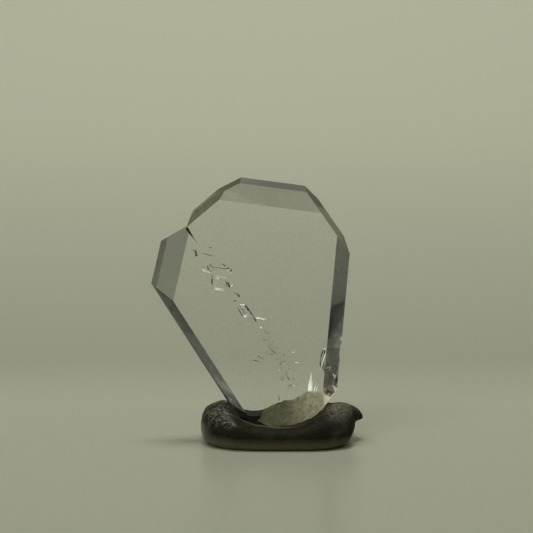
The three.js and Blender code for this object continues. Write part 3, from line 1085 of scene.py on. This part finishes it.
def kneaded(here, normal):
    """How far a point of the free skin is raised, in millimetres, and how pale it is painted, from 0 to
    1, by painted highlights on the lip rim, crinkle tops and fingerprint ridges, and by dust.
    """
    wander = noise.noise_vector(here * WANDER_PER_MM)
    raised = sum(height * noise.noise(here * scale) for scale, height in SWELL)
    rim = spread(here, LIP_RIM) * smooth_step(normal.z, *LIP_SLOPE)
    raised += LIP_HEIGHT * rim
    # The pale line along the lip rim is a painted highlight.
    pale_dust_and_sheen = LIP_PAINTED_HIGHLIGHT * rim
    share, level = crinkles(here, normal, wander)
    raised += share * CRINKLE_HEIGHT * (level - 0.5)
    # The pale crinkle tops are painted highlights.
    tops = smooth_step(level, *CRINKLE_TOPS) * smooth_step(wander.y, *CRINKLE_PATCHES)
    pale_dust_and_sheen += share * CRINKLE_PAINTED_HIGHLIGHT * tops
    share, level = fingerprint(here, normal, wander)
    raised += share * PRINT_HEIGHT * (level - 0.5)
    # The fingerprint flank is painted a little paler, with painted highlights on its ridge tops.
    between, on_top = PRINT_PALENESS_AND_HIGHLIGHT
    pale_dust_and_sheen += share * (between + (on_top - between) * smooth_step(level, *PRINT_TOPS))
    pale_dust_and_sheen += dust(here)
    return raised, min(1, pale_dust_and_sheen)


# %% [markdown]
# ## Kneading
# Both ends are cut finer for their ridges, and three soft dips are pressed in. Then each point is moved
# along its normal. Points close to the crystal are drawn onto it instead, a little way in, so that the
# putty hugs it with no slit. How pale a point is painted, by dust and by painted highlights, and how much
# brown film it carries beside the crystal, are kept as attributes of the mesh, because the material
# needs them later.

# %% Cut the ends finer and press the dips
FINE_ABOVE = 0.3
DIPS = [
    {"x": -2.9, "y": -2.55, "half_x": 1.3, "half_y": 0.4, "share": 0.15},
    {"x": -3, "y": 2.2, "half_x": 1.9, "half_y": 2.4, "share": 0.1},
    {"x": -4.2, "y": -1.7, "half_x": 0.7, "half_y": 0.9, "share": 0.1},
]


def is_fine(point):
    """Whether a point is on one of the two ends, above the foot of the lump."""
    here = point.co / MM
    return (here.x < CRINKLE_X[0] or here.x > PRINT_X[0]) and here.z > FINE_ABOVE


fine_edges = [edge for edge in lump.edges if all(is_fine(point) for point in edge.verts)]
bmesh.ops.subdivide_edges(lump, edges=fine_edges, cuts=1, use_grid_fill=True)
for point in lump.verts:
    point.co.z *= 1 - sum(dip["share"] * spread(point.co / MM, dip) for dip in DIPS)
lump.normal_update()
print("edges cut finer:", len(fine_edges))

# %% Knead the putty
HUG_FROM = 0.75
HUG_FULL = 0.36
HUG_INSIDE = 0.02
FREE_Z = (0.05, 0.8)
FOOT_SMOOTHING = 0.3

# How pale each point is painted, by dust and by painted highlights.
dust_and_sheen_layer = lump.verts.layers.float.new("pale_dust_and_sheen")
film_layer = lump.verts.layers.float.new("film")
moved = []
for point in lump.verts:
    here = point.co / MM
    touch, outward, _, gap = grown_tree.find_nearest(point.co)
    hug = smooth_step(gap / MM, HUG_FROM, HUG_FULL)
    free = (1 - hug) * smooth_step(here.z, *FREE_Z)
    raised, pale_dust_and_sheen = kneaded(here, point.normal)
    point[dust_and_sheen_layer] = pale_dust_and_sheen * free
    # The film is strongest halfway between the free skin and the part that hugs the crystal.
    point[film_layer] = 4 * hug * (1 - hug)
    place = point.co + point.normal * raised * free * MM
    moved.append(place.lerp(touch - outward * HUG_INSIDE * MM, hug))
for point, place in zip(lump.verts, moved):
    point.co = place
low_points = [point for point in lump.verts if point.co.z < FREE_Z[1] * MM]
bmesh.ops.smooth_vert(
    lump, verts=low_points, factor=FOOT_SMOOTHING, use_axis_x=True, use_axis_y=True
)
for face in lump.faces:
    face.smooth = True
print("worn points:", sum(point[dust_and_sheen_layer] > 0.5 for point in lump.verts))

# %% [markdown]
# ## Putty finish
# The putty is olive black, mottled, and dull, but the left end was squeezed smooth and shines under its
# crinkles. Painted highlights lighten the lip rim, the crinkle tops and the fingerprint ridges, the right
# end is dusty, a brown film creeps up the crystal, and the foot is painted paler, as painted light from
# the ground below. The two attributes of the mesh and the height above the ground mix these colours, one
# over the other.

# %% Colours of the putty
PUTTY_TONES = [(0.38, (0.013, 0.0122, 0.006)), (0.7, (0.042, 0.039, 0.019))]
PUTTY_PER_METRE = 900
# The pale colour of dust and of the painted highlights.
PUTTY_DUST_AND_SHEEN = (0.36, 0.34, 0.235)
PUTTY_FILM = (0.1, 0.076, 0.041)
# Painted light on the foot of the putty, as if lit from the ground below.
PUTTY_FOOT_PAINTED_LIGHT = (0.18, 0.163, 0.095)
PUTTY_FOOT_LIGHT_Z = (1.3, 0.3)

putty_paint, putty_shader = new_material("dark_putty", Specular_IOR_Level=0.2, Coat_Roughness=0.22)
tree = putty_paint.node_tree
place = object_place(tree)
mottle = add_node(
    tree, "TexNoise", {"Vector": place, "Scale": PUTTY_PER_METRE, "Detail": 7.0, "Roughness": 0.7}
)
colour = ramp(tree, mottle.outputs["Fac"], *PUTTY_TONES)
pale_dust_and_sheen = add_node(tree, "Attribute", {}, attribute_name="pale_dust_and_sheen").outputs["Fac"]
film = add_node(tree, "Attribute", {}, attribute_name="film").outputs["Fac"]
# The foot is painted paler towards the ground: painted light.
painted_foot_light = share_along(tree, "Z", *PUTTY_FOOT_LIGHT_Z)
for share, over in ((pale_dust_and_sheen, PUTTY_DUST_AND_SHEEN), (film, PUTTY_FILM), (painted_foot_light, PUTTY_FOOT_PAINTED_LIGHT)):
    layers = {"Fac": share, "Color1": colour, "Color2": (*over, 1)}
    colour = add_node(tree, "MixRGB", layers).outputs["Color"]
tree.links.new(colour, putty_shader.inputs["Base Color"])
print("nodes of the putty's colours:", len(tree.nodes))

# %% Gloss and grain of the putty
PUTTY_ROUGHNESS = [(-5.2, 0.34), (-4.2, 0.72)]
PUTTY_COAT = [(-5.2, 0.6), (-4.2, 0)]
GRAIN_PER_METRE = 6000
GRAIN_HEIGHT = 0.03 * MM
GRAIN_STRENGTH = 0.7

for socket, stops in (("Roughness", PUTTY_ROUGHNESS), ("Coat Weight", PUTTY_COAT)):
    tree.links.new(ramp_along(tree, "X", greys(*stops)), putty_shader.inputs[socket])
grain = add_node(tree, "TexNoise", {"Vector": place, "Scale": GRAIN_PER_METRE, "Detail": 4.0})
relief = {"Height": grain.outputs["Fac"], "Distance": GRAIN_HEIGHT, "Strength": GRAIN_STRENGTH}
skin = add_node(tree, "Bump", relief)
tree.links.new(skin.outputs["Normal"], putty_shader.inputs["Normal"])
putty = add_object("putty_lump", lump, putty_paint)
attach(putty, "root")
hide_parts("putty_base")
print("putty faces:", len(putty.data.polygons))
